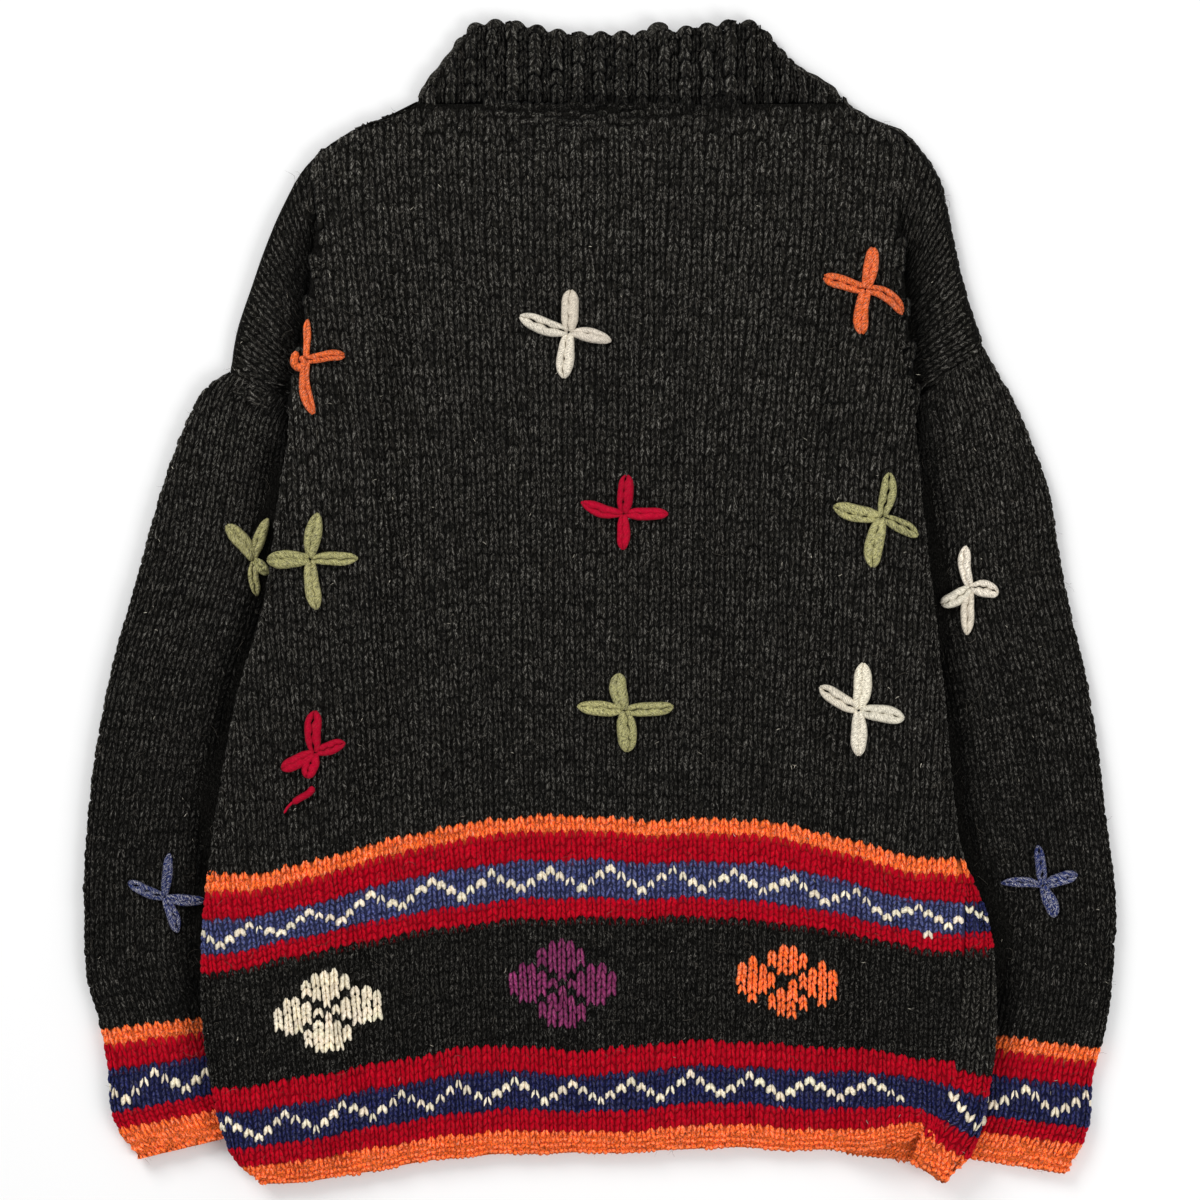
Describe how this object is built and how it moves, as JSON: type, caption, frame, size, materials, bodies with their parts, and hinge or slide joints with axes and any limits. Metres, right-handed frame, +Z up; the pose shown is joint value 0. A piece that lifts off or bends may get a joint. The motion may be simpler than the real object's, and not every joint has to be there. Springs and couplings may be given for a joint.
{
  "type": "sweater",
  "caption": "Heavy hand-knit wool pullover with drop shoulders and a ribbed collar, laid flat back up with its sleeves folded down beside and partly under the body.",
  "frame": {"origin": "on the surface the sweater lies on, below the middle of its outline in plan", "axes": "+Y from the hem to the collar, +Z up out of the back of the sweater, +X towards the sleeve that is at the right when the collar is at the top"},
  "size_m": [0.6722, 0.757, 0.0218],
  "materials": {
    "back_wool": "charcoal heathered wool, hand-knit stocking stitch with coloured bands and flowers",
    "front_wool": "charcoal heathered wool, hand-knit stocking stitch with coloured bands",
    "sleeve_left_wool": "charcoal heathered wool, hand-knit stocking stitch with a striped cuff",
    "sleeve_right_wool": "charcoal heathered wool, hand-knit stocking stitch with a striped cuff",
    "collar_wool": "charcoal heathered wool, hand-knit rib"
  },
  "bodies": {
    "root": {"back": "back_wool", "front": "front_wool", "sleeve_left": "sleeve_left_wool", "sleeve_right": "sleeve_right_wool", "collar": "collar_wool"}
  },
  "joints": []
}
